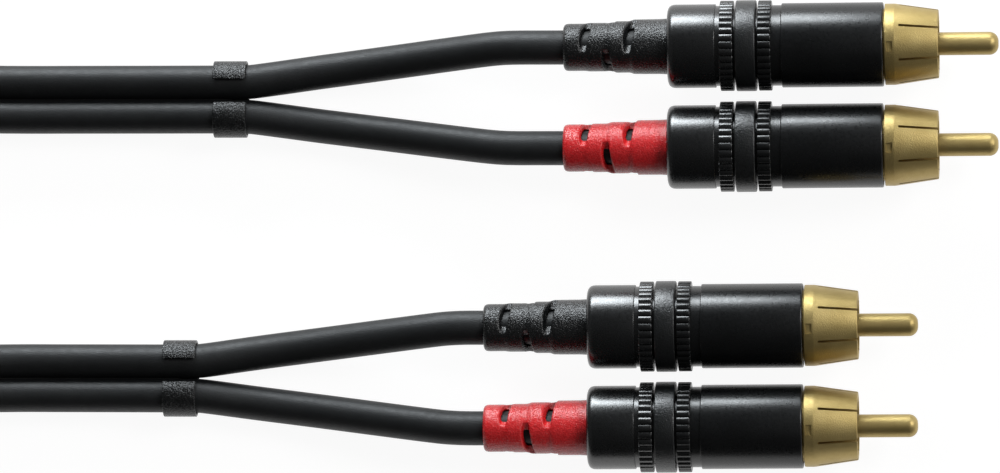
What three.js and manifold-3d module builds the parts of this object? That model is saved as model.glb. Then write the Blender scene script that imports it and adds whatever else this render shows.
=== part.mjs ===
// A stereo audio lead with four phono plugs, in millimetres, +Z up, lying on the plane z = 0.
// Each plug points along +X. The origin is the middle of the four plugs, on the surface under them.
import * as THREE from "three";
import { mergeVertices } from "three/addons/utils/BufferGeometryUtils.js";
import Module from "manifold-3d";

const wasm = await Module();
wasm.setup();

// Signal pin, measured along the plug from the shoulder of the ground contact, which is station 0.
const pinDiameter = 3.18;
const pinReach = 15.65;
const pinTipLength = 1.25;
const pinFlangeDiameter = 4.4;
const pinFlangeLength = 1;
const solderCupDiameter = 2.8;
const solderCupBore = 1.8;
const solderCupLength = 6;
const solderCupDepth = 4.5;

// Ground contact: a collar with spring slots in front of the shoulder and a tail behind it.
const collarBore = 8.3;
const collarMouthWall = 0.59;
const collarFlare = 0.88;
const collarBaseLength = 1.35;
const collarReach = 7.4;
const collarSlots = 7;
const collarSlotWidth = 0.35;
const collarSlotStart = 1.97;
const firstSlotAngle = 27.4;
const tailWall = 0.75;
const tailLength = 9;
const recessLength = 0.86;
const recessWidth = 1.4;
const recessDepth = 0.3;
const recessOffset = -0.4;

// Insulator between the two contacts.
const insulatorFront = 0.9;
const insulatorLength = 7.2;

// Front shell: barrel, neck, knurled ring and the spigot that carries the coding ring and the cap.
const barrelWall = 0.735;
const barrelLength = 14.05;
const barrelEdge = 0.25;
const neckStep = 0.26;
const neckLength = 1.4;
const spigotStep = 0.575;
const spigotWall = 0.8;
const threadRelief = 2.1;

// Knurling, the same on the shell and on the cap.
const knurlHeight = 0.7;
const knurlDepth = 0.42;
const knurlTeeth = 36;
const knurlRidgeShare = 0.5;
const frontKnurlLength = 1.8;
const rearKnurlLength = 1.85;
const knurlProud = 0.2;

// Coding ring.
const codingRingProud = 0.05;
const codingRingLength = 2.8;
const codingRingChamfer = 0.2;
const codingRingGap = 0.32;

// Rear cap.
const capWall = 0.35;
const skirtStep = 0.23;
const capLength = 6.65;
const capEdge = 1.1;
const grooveLength = 0.65;
const capLipLength = 1.3;

// Cable boot. Its outline grows in steps from the rear end to the cap.
const bootReach = 14.5;
const bootRearDiameter = 6.56;
const bootFrontDiameter = 7.74;
const bootBore = 5;
const bootEdge = 0.7;
const bootFlangeLength = 1.4;
const bootSlotWidth = 0.85;
const bootSlotRamp = 22;
const bootSlotFloor = 2.2;
const bootSlotPitch = 3.1;
const bootSlotRings = 3;
const bootFirstSlot = 3.3;
const bootSlotSlant = 9;
const bootStepGrowth = [0.15, 0.5, 0.86];
const bootGrowthAtCap = 0.9;
const blackBootRoll = 35;
const redBootRoll = 54;

// Cable clamp: a washer behind the contact, a tongue and a crimped C round the jacket.
const clampSheet = 0.5;
const clampWasherBore = 5;
const clampTongueWidth = 2.4;
const clampGripLength = 3;
const clampOpening = 60;

// Solder sleeve and the stripped core.
const sleeveWall = 0.35;
const sleeveLength = 8.4;
const coreInsulationDiameter = 2.3;
const coreWireDiameter = 0.9;
const bareWireLength = 5;

// Cable.
const cableDiameter = 4.75;
const lobePitch = 4.76;
const bandWidth = 4.6;
const bandThickness = 0.33;
const bandFit = 0.26;
const bandPastSplit = 2.3;
const bandAboveSurface = 0.03;
const bandLipNear = -0.49;
const bandLipFar = 2.88;
const jacketReach = 3.9;

// Coil of the twin cable, standing on edge in two layers.
const coilRadius = 44.5;
const coilTurnPitch = 4.95;
const coilTurnsPerLayer = 2.37;
const coilLayerPitch = 9.65;
const coilSlack = 0.2;
const coilEdge = 1.5;
const coilCentre = new THREE.Vector2(-169.7, -0.35);

// Clearances: slide fits are radial, seats are along the plug.
const slideFit = 0.2;
const seatFit = 0.2;
const clearOfNeighbour = 0.3;

// Every other diameter of the metal pieces follows from the bore of the ground contact, which is the
// size of the socket that it fits.
const collarMouthDiameter = collarBore + 2 * collarMouthWall;
const collarBaseDiameter = collarMouthDiameter + 2 * collarFlare;
const tailDiameter = collarBore + 2 * tailWall;
const barrelBore = tailDiameter + 2 * slideFit;
const barrelDiameter = barrelBore + 2 * barrelWall;
const neckDiameter = barrelDiameter - 2 * neckStep;
const spigotDiameter = neckDiameter - 2 * spigotStep;
const spigotBore = spigotDiameter - 2 * spigotWall;
const grooveDiameter = spigotDiameter + 2 * (slideFit + capWall);
const capDiameter = grooveDiameter + 2 * skirtStep;
const knurlDiameter = grooveDiameter + 2 * knurlHeight;
const codingRingDiameter = knurlDiameter + 2 * codingRingProud;
const bootFlangeDiameter = spigotDiameter - 2 * clearOfNeighbour;
const clampWasherDiameter = tailDiameter - 2 * slideFit;

// Where the plugs lie: the two ends are staggered, and the plugs are turned a little.
const pairStagger = 11.1;
const outerPlugOffset = 26.4;
const innerPlugOffset = 12.45;
const plugYaw = THREE.MathUtils.degToRad(0.46);

// Facets round the turned pieces.
const turnedSides = 18;
const bootSides = 14;
const smallSides = 8;
const cordSides = 8;
const coilSides = 24;

// Steps along the drawn arcs and along the cables.
const tipSteps = 3;
const gripSteps = 8;
const bandSteps = 8;
const legSteps = 8;
const twinSteps = 14;

// Stations along the plug, from the front of the shell backwards.
const shellFront = -seatFit;
const barrelRear = shellFront - barrelLength;
const frontKnurlFront = barrelRear - neckLength;
const frontKnurlRear = frontKnurlFront - frontKnurlLength;
const codingRingFront = frontKnurlRear - codingRingGap;
const codingRingRear = codingRingFront - codingRingLength;
const codingRingMiddle = (codingRingFront + codingRingRear) / 2;
const capFront = codingRingRear - codingRingGap;
const rearKnurlRear = capFront - rearKnurlLength;
const skirtFront = rearKnurlRear - grooveLength;
const capRear = skirtFront - capLength;
const lipFront = capRear + capLipLength;
const bootRear = capRear - bootReach;
const flangeRear = lipFront + seatFit;
const flangeFront = flangeRear + bootFlangeLength;
const spigotRear = flangeFront + clearOfNeighbour;
const tailRear = -tailLength;
const insulatorRear = insulatorFront - insulatorLength;
const pinFlangeFront = insulatorRear - seatFit;
const pinFlangeRear = pinFlangeFront - pinFlangeLength;
const cupRear = pinFlangeRear - solderCupLength;
const washerFront = tailRear - seatFit;
const washerRear = washerFront - clampSheet;
const shellShoulder = washerRear - threadRelief;
const sleeveFront = washerRear - threadRelief / 2;
const jacketEnd = capRear + jacketReach + clampGripLength;
const coreFront = cupRear - seatFit;
const axisHeight = codingRingDiameter / 2;
const lobeOffset = lobePitch / 2;
const bandHeight = cableDiameter / 2 + bandFit + bandThickness + bandAboveSurface;
const cableRadius = cableDiameter / 2;

const finishes = {
  shell: { color: 0x17181a, roughness: 0.38, metalness: 0.75 },
  ring: { color: 0x26282a, roughness: 0.6, metalness: 0 },
  gold: { color: 0xc8aa60, roughness: 0.25, metalness: 1 },
  tin: { color: 0xb4b2aa, roughness: 0.35, metalness: 1 },
  black: { color: 0x1a1b1d, roughness: 0.7, metalness: 0 },
  red: { color: 0xb9262e, roughness: 0.6, metalness: 0 },
  jacket: { color: 0x202326, roughness: 0.6, metalness: 0 },
  plastic: { color: 0xe8e4d8, roughness: 0.45, metalness: 0 },
  copper: { color: 0xb87345, roughness: 0.35, metalness: 1 },
};

// A closed mesh as a solid that can be joined and cut.
function solidOf(geometry) {
  const bare = geometry.index ? geometry.toNonIndexed() : geometry.clone();
  bare.deleteAttribute("normal");
  bare.deleteAttribute("uv");
  const merged = mergeVertices(bare);
  return new wasm.Manifold(
    new wasm.Mesh({
      numProp: 3,
      vertProperties: merged.attributes.position.array,
      triVerts: new Uint32Array(merged.index.array),
    }),
  );
}

function geometryOf(solid) {
  const { numProp, numVert, vertProperties, triVerts } = solid.getMesh();
  const positions = new Float32Array(numVert * 3);
  for (let i = 0; i < numVert; i++)
    positions.set(vertProperties.subarray(i * numProp, i * numProp + 3), i * 3);
  const geometry = new THREE.BufferGeometry();
  geometry.setAttribute("position", new THREE.BufferAttribute(positions, 3));
  geometry.setIndex(new THREE.BufferAttribute(triVerts, 1));
  geometry.computeVertexNormals();
  return geometry;
}

// A piece turned about the plug's axis. The outline lists [station, radius], outside first, front last.
function turned(outline, sides = turnedSides) {
  const profile = outline.map(([station, radius]) => new THREE.Vector2(radius, station));
  if (profile[0].x > 0) profile.push(profile[0].clone());
  return new THREE.LatheGeometry(profile, sides).rotateZ(-Math.PI / 2);
}

// A quarter round between a face and a cylinder, as [station, radius] points that leave out its ends.
function quarterRound(station, radius, edge, steps) {
  return Array.from({ length: steps - 1 }, (_, i) => {
    const angle = ((i + 1) / steps) * (Math.PI / 2);
    return [
      station + edge * (1 - Math.sin(angle)),
      radius - edge * (1 - Math.cos(angle)),
    ];
  }).reverse();
}

// A block given by its corners, as a cutter.
function block(low, high) {
  const size = high.map((value, i) => value - low[i]);
  const middle = high.map((value, i) => (value + low[i]) / 2);
  return new THREE.BoxGeometry(...size).translate(...middle);
}

// An outline in the plane across the plug, extruded along the plug from one station to another.
function across(shape, rear, front) {
  return new THREE.ExtrudeGeometry(shape, { depth: front - rear, bevelEnabled: false })
    .rotateX(Math.PI / 2)
    .rotateZ(Math.PI / 2)
    .translate(rear, 0, 0);
}

function polygon(radius, sides) {
  return Array.from({ length: sides }, (_, i) => {
    const angle = (i / sides) * 2 * Math.PI;
    return new THREE.Vector2(radius * Math.cos(angle), radius * Math.sin(angle));
  });
}

// A ring with straight ridges. Its bore lies inside the wall of the piece that it belongs to.
function knurledRing(rear, front, bore) {
  const pitch = (2 * Math.PI) / knurlTeeth;
  const top = knurlDiameter / 2;
  const root = top - knurlDepth;
  const outline = [];
  for (let tooth = 0; tooth < knurlTeeth; tooth++) {
    const middle = tooth * pitch;
    const ridge = (pitch * knurlRidgeShare) / 2;
    for (const [angle, radius] of [[-ridge, top], [ridge, top], [pitch / 2, root]])
      outline.push(
        new THREE.Vector2(radius * Math.cos(middle + angle), radius * Math.sin(middle + angle)),
      );
  }
  const shape = new THREE.Shape(outline);
  shape.holes.push(new THREE.Path(polygon(bore, turnedSides)));
  return across(shape, rear, front);
}

function centrePin() {
  const radius = pinDiameter / 2;
  const tipStart = pinReach - pinTipLength;
  const tip = Array.from({ length: tipSteps }, (_, i) => {
    const share = (i + 1) / tipSteps;
    return [tipStart + pinTipLength * share, radius * Math.sqrt(1 - share * share)];
  });
  return turned(
    [
      [cupRear + solderCupDepth, 0],
      [cupRear + solderCupDepth, solderCupBore / 2],
      [cupRear, solderCupBore / 2],
      [cupRear, solderCupDiameter / 2],
      [pinFlangeRear, solderCupDiameter / 2],
      [pinFlangeRear, pinFlangeDiameter / 2],
      [pinFlangeFront, pinFlangeDiameter / 2],
      [pinFlangeFront, radius],
      [tipStart, radius],
      ...tip,
    ],
    smallSides,
  );
}

function groundContact() {
  const mouth = collarMouthDiameter / 2;
  const bore = collarBore / 2;
  let solid = solidOf(
    turned([
      [tailRear, bore],
      [tailRear, tailDiameter / 2],
      [0, tailDiameter / 2],
      [0, collarBaseDiameter / 2],
      [collarBaseLength, collarBaseDiameter / 2],
      [collarReach, mouth],
      [collarReach, bore],
    ]),
  );
  for (let slot = 0; slot < collarSlots; slot++) {
    const angle = THREE.MathUtils.degToRad(firstSlotAngle) + (slot / collarSlots) * 2 * Math.PI;
    const half = collarSlotWidth / 2;
    const cutter = block(
      [collarSlotStart, -half, bore / 2],
      [collarReach + 1, half, collarBaseDiameter],
    ).rotateX(-angle);
    solid = solid.subtract(solidOf(cutter));
  }
  const recessFront = (collarBaseLength + recessLength) / 2;
  const recess = block(
    [recessFront - recessLength, recessOffset - recessWidth / 2, collarBaseDiameter / 2 - recessDepth],
    [recessFront, recessOffset + recessWidth / 2, collarBaseDiameter],
  );
  return geometryOf(solid.subtract(solidOf(recess)));
}

function insulator() {
  const outer = collarBore / 2 - slideFit;
  const bore = pinDiameter / 2 + slideFit;
  return turned([
    [insulatorRear, bore],
    [insulatorRear, outer],
    [insulatorFront, outer],
    [insulatorFront, bore],
  ]);
}

function frontShell() {
  const barrel = barrelDiameter / 2;
  const bore = barrelBore / 2;
  const body = turned([
    [spigotRear, spigotBore / 2],
    [spigotRear, spigotDiameter / 2],
    [frontKnurlRear + knurlProud, spigotDiameter / 2],
    [frontKnurlRear + knurlProud, neckDiameter / 2],
    [barrelRear, neckDiameter / 2],
    [barrelRear, barrel],
    [shellFront - barrelEdge, barrel],
    [shellFront, barrel - barrelEdge],
    [shellFront, bore],
    [shellShoulder, bore],
    [shellShoulder, spigotBore / 2],
  ]);
  const knurl = knurledRing(frontKnurlRear, frontKnurlFront, spigotDiameter / 2 - slideFit);
  return geometryOf(solidOf(body).add(solidOf(knurl)));
}

function codingRing() {
  const outer = codingRingDiameter / 2;
  const bore = spigotDiameter / 2 + slideFit;
  return turned([
    [codingRingRear, bore],
    [codingRingRear, outer - codingRingChamfer],
    [codingRingRear + codingRingChamfer, outer],
    [codingRingFront - codingRingChamfer, outer],
    [codingRingFront, outer - codingRingChamfer],
    [codingRingFront, bore],
  ]);
}

function rearCap() {
  const bore = spigotDiameter / 2 + slideFit;
  const skirt = capDiameter / 2;
  const mouth = bootFrontDiameter / 2 + slideFit;
  const body = turned([
    [lipFront, bore],
    [lipFront, mouth],
    [capRear, mouth],
    [capRear, skirt - capEdge],
    ...quarterRound(capRear, skirt, capEdge, 2),
    [capRear + capEdge, skirt],
    [skirtFront, skirt],
    [skirtFront, grooveDiameter / 2],
    [capFront - knurlProud, grooveDiameter / 2],
    [capFront - knurlProud, bore],
  ]);
  const knurl = knurledRing(rearKnurlRear, capFront, bore + slideFit);
  return geometryOf(solidOf(body).add(solidOf(knurl)));
}

// Radius of the boot's outside: four bands, each a little wider than the one behind it.
function bootOutline() {
  const rear = bootRearDiameter / 2;
  const growth = (bootFrontDiameter - bootRearDiameter) / 2;
  const outline = [[bootRear, rear - bootEdge]];
  outline.push(...quarterRound(bootRear, rear, bootEdge, 2), [bootRear + bootEdge, rear]);
  for (let ring = 0; ring < bootSlotRings; ring++) {
    const middle = bootRear + bootFirstSlot + ring * bootSlotPitch;
    outline.push([middle + bootSlotWidth / 2, rear + growth * bootStepGrowth[ring]]);
  }
  outline.push([capRear - capEdge, rear + growth * bootGrowthAtCap], [capRear, rear + growth]);
  return outline;
}

// Cutter for one relief slot, which opens up backwards from a flat floor. Each ring has two, opposite
// each other, and the next ring is turned by a quarter and slants the other way.
function bootSlot(roll, ring, side) {
  const odd = ring % 2;
  const half = bootSlotWidth / 2;
  const reach = bootFrontDiameter / 2 + 1;
  const opening = (reach - bootSlotFloor) * Math.tan(THREE.MathUtils.degToRad(bootSlotRamp));
  const corners = [[-half, bootSlotFloor], [half, bootSlotFloor], [half, reach], [-half - opening, reach]];
  const shape = new THREE.Shape(corners.map(([x, z]) => new THREE.Vector2(x, z)));
  return new THREE.ExtrudeGeometry(shape, { depth: 2 * reach, bevelEnabled: false })
    .rotateX(Math.PI / 2)
    .translate(0, reach, 0)
    .rotateZ(THREE.MathUtils.degToRad(odd ? bootSlotSlant : -bootSlotSlant))
    .rotateX(-THREE.MathUtils.degToRad(roll + 90 * odd + 180 * side))
    .translate(bootRear + bootFirstSlot + ring * bootSlotPitch, 0, 0);
}

function cableBoot(roll) {
  const bore = bootBore / 2;
  const neck = bootFrontDiameter / 2;
  let solid = solidOf(
    turned([
      [bootRear, bore],
      ...bootOutline(),
      [flangeRear, neck],
      [flangeRear, bootFlangeDiameter / 2],
      [flangeFront, bootFlangeDiameter / 2],
      [flangeFront, bore],
    ], bootSides),
  );
  for (let ring = 0; ring < bootSlotRings; ring++)
    for (const side of [0, 1]) solid = solid.subtract(solidOf(bootSlot(roll, ring, side)));
  return geometryOf(solid);
}

// A flat strip bent round an arc of the jacket, drawn across the plug.
function gripShape(inner, outer) {
  const start = -Math.PI / 2 + THREE.MathUtils.degToRad(clampOpening / 2) + Math.PI;
  const sweep = 2 * Math.PI - THREE.MathUtils.degToRad(clampOpening);
  const arc = (radius, share) => {
    const angle = start + sweep * share;
    return new THREE.Vector2(radius * Math.cos(angle), radius * Math.sin(angle));
  };
  const shares = Array.from({ length: gripSteps + 1 }, (_, i) => i / gripSteps);
  return new THREE.Shape([
    ...shares.map((share) => arc(outer, share)),
    ...shares.toReversed().map((share) => arc(inner, share)),
  ]);
}

function cableClamp() {
  const inner = cableRadius + slideFit;
  const outer = inner + clampSheet;
  const washer = new THREE.Shape(polygon(clampWasherDiameter / 2, bootSides));
  washer.holes.push(new THREE.Path(polygon(clampWasherBore / 2, smallSides)));
  const gripRear = jacketEnd - clampGripLength;
  const tongue = block(
    [gripRear, -clampTongueWidth / 2, -outer],
    [washerRear + clampSheet / 2, clampTongueWidth / 2, -inner],
  );
  const solid = solidOf(across(washer, washerRear, washerFront))
    .add(solidOf(tongue))
    .add(solidOf(across(gripShape(inner, outer), gripRear, jacketEnd)));
  return geometryOf(solid);
}

// A tube with a slit along its underside, which the clamp's tongue lies in.
function solderSleeve() {
  const outer = spigotBore / 2 - slideFit;
  const inner = outer - sleeveWall;
  const rear = sleeveFront - sleeveLength;
  const wall = [[rear, inner], [rear, outer], [sleeveFront, outer], [sleeveFront, inner]];
  const half = clampTongueWidth / 2 + slideFit;
  const slit = block([rear - 1, -half, -outer - 1], [sleeveFront + 1, half, 0]);
  return geometryOf(solidOf(turned(wall, smallSides)).subtract(solidOf(slit)));
}

function coreInsulation() {
  const bore = coreWireDiameter / 2 + slideFit;
  const outer = coreInsulationDiameter / 2;
  const rear = jacketEnd + seatFit;
  return turned([[rear, bore], [rear, outer], [coreFront, outer], [coreFront, bore]], smallSides);
}

function coreWire() {
  const radius = coreWireDiameter / 2;
  const rear = jacketEnd + seatFit;
  const front = Math.min(coreFront + bareWireLength, cupRear + solderCupDepth - seatFit);
  return turned([[rear, 0], [rear, radius], [front, radius], [front, 0]], smallSides);
}

// Routes of the legs from the split to the boot's mouth: share of the way along, share of the spread
// sideways, and height of the cable's axis.
const legRouteA = [
  [0, 0, 2.95],
  [0.03, 0, 2.95],
  [0.06, 0.015, 2.88],
  [0.1, 0.064, 2.77],
  [0.15, 0.133, 2.61],
  [0.21, 0.218, 2.47],
  [0.27, 0.302, 2.4],
  [0.33, 0.38, 2.45],
  [0.39, 0.458, 2.65],
  [0.45, 0.535, 2.97],
  [0.51, 0.613, 3.38],
  [0.57, 0.691, 3.86],
  [0.63, 0.769, 4.37],
  [0.69, 0.846, 4.89],
  [0.74, 0.909, 5.32],
  [0.78, 0.955, 5.63],
  [0.82, 0.988, 5.9],
  [0.87, 1, 6.1],
  [0.93, 1, 6.25],
];
const legRouteB = [
  [0, 0, 2.95],
  [0.03, 0, 2.95],
  [0.065, 0.015, 2.87],
  [0.11, 0.065, 2.74],
  [0.17, 0.142, 2.55],
  [0.23, 0.219, 2.43],
  [0.3, 0.305, 2.42],
  [0.37, 0.387, 2.58],
  [0.44, 0.469, 2.92],
  [0.51, 0.551, 3.38],
  [0.58, 0.634, 3.95],
  [0.65, 0.716, 4.55],
  [0.72, 0.798, 5.15],
  [0.78, 0.868, 5.6],
  [0.83, 0.925, 5.93],
  [0.87, 0.966, 6.1],
  [0.91, 0.99, 6.22],
  [0.95, 1, 6.28],
];

const ends = [
  { name: "end_a", shift: pairStagger / 2, side: 1, fork: -71.3, twin: 19.1, legRoute: legRouteA },
  { name: "end_b", shift: -pairStagger / 2, side: -1, fork: -78.35, twin: -19.8, legRoute: legRouteB },
];
const plugMiddle = (pinReach + bootRear) / 2;

// Each end's black plug lies on the +Y side of its red one.
function plugsOf(end) {
  const [black, red] = end.side > 0
    ? [outerPlugOffset, innerPlugOffset]
    : [-innerPlugOffset, -outerPlugOffset];
  return [
    { name: `${end.name}_black`, y: black, sign: 1, boot: "black", roll: blackBootRoll },
    { name: `${end.name}_red`, y: red, sign: -1, boot: "red", roll: redBootRoll },
  ];
}

// A plug turns about the middle of its coding ring, where it rests.
function plugPoint(end, plug, station) {
  const restX = end.shift - plugMiddle + codingRingMiddle;
  return new THREE.Vector3(station - codingRingMiddle, 0, 0)
    .applyAxisAngle(new THREE.Vector3(0, 0, 1), plugYaw)
    .add(new THREE.Vector3(restX, plug.y, axisHeight));
}

function legCurve(end, plug) {
  const mouth = plugPoint(end, plug, bootRear);
  const start = end.twin + plug.sign * lobeOffset;
  const points = end.legRoute.map(
    ([along, spread, height]) =>
      new THREE.Vector3(
        end.fork + clearOfNeighbour + along * (mouth.x - end.fork - clearOfNeighbour),
        start + spread * (mouth.y - start),
        height,
      ),
  );
  for (const share of [0, 0.25, 0.5, 0.75, 1])
    points.push(plugPoint(end, plug, THREE.MathUtils.lerp(bootRear, jacketEnd, share)));
  return new THREE.CatmullRomCurve3(points, false, "centripetal");
}

function legTube(end, plug) {
  const shape = new THREE.Shape(polygon(cableRadius, cordSides));
  const extrudePath = legCurve(end, plug);
  return new THREE.ExtrudeGeometry(shape, { steps: legSteps, extrudePath, bevelEnabled: false });
}

// Route of the twin cable at end A, from the split to the coil: x, distance outwards from the
// straight stretch, and height. End B's mirrors it, and comes down from the coil's upper layer.
const twinRouteA = [
  [-71.3, 0, 2.95],
  [-74.8, 0, 2.95],
  [-78.5, 0, 2.7],
  [-83, 0, 2.45],
  [-88, 0, 2.4],
  [-94, 0, 2.4],
  [-100, 0, 2.4],
  [-106, 0.1, 2.5],
  [-112, 0.6, 3.05],
  [-118, 1.7, 3.8],
  [-124, 3.4, 4.45],
  [-130, 6.2, 4.8],
  [-135, 9.4, 4.85],
  [-139.3, 13.1, 4.85],
];
const twinRouteB = [
  [-78.35, 0, 2.95],
  [-81.8, 0, 2.95],
  [-85.5, 0, 2.7],
  [-90, 0, 2.45],
  [-95.5, 0, 2.4],
  [-101, 0, 2.5],
  [-106, 0.1, 3],
  [-112, 0.6, 4.4],
  [-118, 1.7, 6.6],
  [-124, 3.4, 9.2],
  [-130, 6.2, 11.8],
  [-135, 9.4, 13.5],
  [-139.3, 13.1, 14.35],
];
const twistStart = -103;
const twistEnd = -139.3;

// A route whose flat section turns from lying to standing on its edge.
class TwistingRoute extends THREE.CatmullRomCurve3 {
  computeFrenetFrames(segments) {
    const tangents = [];
    const normals = [];
    const binormals = [];
    for (let i = 0; i <= segments; i++) {
      const place = this.getPointAt(i / segments);
      const tangent = this.getTangentAt(i / segments);
      const level = new THREE.Vector3(-tangent.y, tangent.x, 0).normalize();
      const turn = (Math.PI / 2) * THREE.MathUtils.smoothstep(-place.x, -twistStart, -twistEnd);
      const normal = level.applyAxisAngle(tangent, turn);
      tangents.push(tangent);
      normals.push(normal);
      binormals.push(new THREE.Vector3().crossVectors(tangent, normal));
    }
    return { tangents, normals, binormals };
  }
}

// Two round cables side by side with a valley between them, in twelve points.
function twinShape() {
  const lobe = [-140, -84, -28, 28, 84, 140].map((degrees) => {
    const angle = THREE.MathUtils.degToRad(degrees);
    return [lobeOffset + cableRadius * Math.cos(angle), cableRadius * Math.sin(angle)];
  });
  const points = [...lobe, ...lobe.map(([x, y]) => [-x, -y])];
  return new THREE.Shape(points.map(([x, y]) => new THREE.Vector2(x, y)));
}

// The coil's outside, as far as a margin beyond its cables.
function coilRing(margin = 0) {
  const outer = coilRadius + cableRadius + coilSlack + margin;
  const inner = coilRadius - coilTurnsPerLayer * coilTurnPitch - cableRadius - margin;
  const top = coilLayerPitch + cableDiameter * 2 + margin;
  const bottom = -margin;
  const profile = [
    [inner, bottom + coilEdge],
    [inner + coilEdge, bottom],
    [outer - coilEdge, bottom],
    [outer, bottom + coilEdge],
    [outer, top - coilEdge],
    [outer - coilEdge, top],
    [inner + coilEdge, top],
    [inner, top - coilEdge],
    [inner, bottom + coilEdge],
  ].map(([radius, height]) => new THREE.Vector2(radius, height));
  return new THREE.LatheGeometry(profile, coilSides)
    .rotateX(Math.PI / 2)
    .translate(coilCentre.x, coilCentre.y, 0);
}

function twinTube(end, route) {
  const points = route.map(([x, outwards, z]) => new THREE.Vector3(x, end.twin + end.side * outwards, z));
  const extrudePath = new TwistingRoute(points, false, "centripetal");
  const options = { steps: twinSteps, extrudePath, bevelEnabled: false };
  const tube = new THREE.ExtrudeGeometry(twinShape(), options);
  return geometryOf(solidOf(tube).subtract(solidOf(coilRing(clearOfNeighbour))));
}

// An open band round the twin cable. It leaves a gap on top, over the inner half of one cable.
function splitBand(end) {
  const inner = cableRadius + bandFit;
  const outer = inner + bandThickness;
  const strip = (radius) => {
    const middle = (inner + outer) / 2;
    const near = Math.asin((bandLipNear + lobeOffset) / middle);
    const far = Math.asin((bandLipFar - lobeOffset) / middle);
    const arc = (centre, from, to) =>
      Array.from({ length: bandSteps + 1 }, (_, i) => {
        const angle = THREE.MathUtils.lerp(from, to, i / bandSteps);
        return new THREE.Vector2(centre + radius * Math.sin(angle), radius * Math.cos(angle));
      });
    return [...arc(-lobeOffset, near, -Math.PI), ...arc(lobeOffset, Math.PI, far)];
  };
  const shape = new THREE.Shape([...strip(outer), ...strip(inner).toReversed()]);
  const front = end.fork + bandPastSplit;
  return across(shape, front - bandWidth, front).translate(0, end.twin, bandHeight);
}

const lead = new THREE.Group();

function addPiece(parent, name, geometry, finish) {
  const mesh = new THREE.Mesh(geometry, new THREE.MeshStandardMaterial(finishes[finish]));
  mesh.name = name;
  parent.add(mesh);
}

for (const end of ends) {
  for (const plug of plugsOf(end)) {
    const group = new THREE.Group();
    group.position.copy(plugPoint(end, plug, 0));
    group.rotation.z = plugYaw;
    lead.add(group);
    addPiece(group, `${plug.name}_centre_pin`, centrePin(), "gold");
    addPiece(group, `${plug.name}_ground_contact`, groundContact(), "gold");
    addPiece(group, `${plug.name}_insulator`, insulator(), "plastic");
    addPiece(group, `${plug.name}_front_shell`, frontShell(), "shell");
    addPiece(group, `${plug.name}_coding_ring`, codingRing(), "ring");
    addPiece(group, `${plug.name}_rear_cap`, rearCap(), "shell");
    addPiece(group, `${plug.name}_cable_boot`, cableBoot(plug.roll), plug.boot);
    addPiece(group, `${plug.name}_cable_clamp`, cableClamp(), "tin");
    addPiece(group, `${plug.name}_solder_sleeve`, solderSleeve(), "plastic");
    addPiece(group, `${plug.name}_core_insulation`, coreInsulation(), "plastic");
    addPiece(group, `${plug.name}_core_wire`, coreWire(), "copper");
    addPiece(lead, `${plug.name}_leg`, legTube(end, plug), "jacket");
  }
  addPiece(lead, `${end.name}_split_band`, splitBand(end), "black");
}
addPiece(lead, "end_a_twin_cable", twinTube(ends[0], twinRouteA), "jacket");
addPiece(lead, "end_b_twin_cable", twinTube(ends[1], twinRouteB), "jacket");
addPiece(lead, "twin_cable_coil", coilRing(), "jacket");

export default lead;
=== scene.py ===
"""A stereo audio lead with four phono plugs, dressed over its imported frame, in metres.

The plugs lie in a row with their pins towards +X. Stations are distances along a plug from the shoulder
of its ground contact, positive towards the pin's tip.
"""

import functools
import logging
import math
from collections.abc import Callable, Iterable, Mapping, Sequence
from dataclasses import dataclass
from enum import Enum

import bmesh
import bpy
import numpy as np
from mathutils import Matrix, Vector


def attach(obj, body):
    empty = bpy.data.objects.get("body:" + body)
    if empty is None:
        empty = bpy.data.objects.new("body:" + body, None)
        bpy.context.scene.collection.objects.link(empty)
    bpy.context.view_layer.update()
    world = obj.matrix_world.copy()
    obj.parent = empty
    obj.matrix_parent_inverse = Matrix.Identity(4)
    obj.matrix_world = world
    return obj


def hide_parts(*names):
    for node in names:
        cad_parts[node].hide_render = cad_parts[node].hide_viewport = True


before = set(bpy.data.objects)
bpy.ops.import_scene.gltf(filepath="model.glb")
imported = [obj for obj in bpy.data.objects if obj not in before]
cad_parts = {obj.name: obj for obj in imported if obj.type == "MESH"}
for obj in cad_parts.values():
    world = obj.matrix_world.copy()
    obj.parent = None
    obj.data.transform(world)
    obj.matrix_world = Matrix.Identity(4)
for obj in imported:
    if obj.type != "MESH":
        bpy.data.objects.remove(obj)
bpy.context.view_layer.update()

LOG = logging.getLogger("audio_lead")

Colour = tuple[float, float, float]
Corner = tuple[float, float, float]
Outline = list[tuple[float, float]]
Place = tuple[float, float, float]
RadiusRule = Callable[[float, float, np.ndarray], np.ndarray]
Route = tuple[Place, ...]
Source = bpy.types.NodeSocket | float | tuple[float, ...]
Span = tuple[float, float]

# Stations that more than one piece needs.
CAP_REAR = -0.03004
BOOT_REAR = -0.04454
# Points nearer to each other than this become one.
MERGE_DISTANCE = 1e-7
# Stations that differ by less than this are the same.
STATION_TOLERANCE = 1e-9
# Places worked out between two points of a smooth line.
CURVE_SAMPLES = 16
# The middle of a noise's values, which a finish spreads over its own range.
NOISE_MIDDLE: Span = (0.3, 0.7)


class BootColour(Enum):
    """Colour of a plug's boot, which tells the two channels apart."""

    BLACK = "black"
    RED = "red"


class Lay(Enum):
    """How a cable's section is rolled about its line."""

    FLAT = 0.0
    ON_EDGE = math.pi / 2


class Fade(Enum):
    """How a change between two values starts and ends."""

    EVEN = "LINEAR"
    SOFT = "SMOOTHSTEP"


# Mesh making


def eased(share: float) -> float:
    """Holds a share between 0 and 1 and gives its change a soft start and end."""
    held = min(1, max(0, share))
    return held * held * (3 - 2 * held)


def placed(name: str, data: bpy.types.ID) -> bpy.types.Object:
    """Makes an object and links it to the scene."""
    body = bpy.data.objects.new(name, data)
    bpy.context.scene.collection.objects.link(body)
    return body


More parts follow.
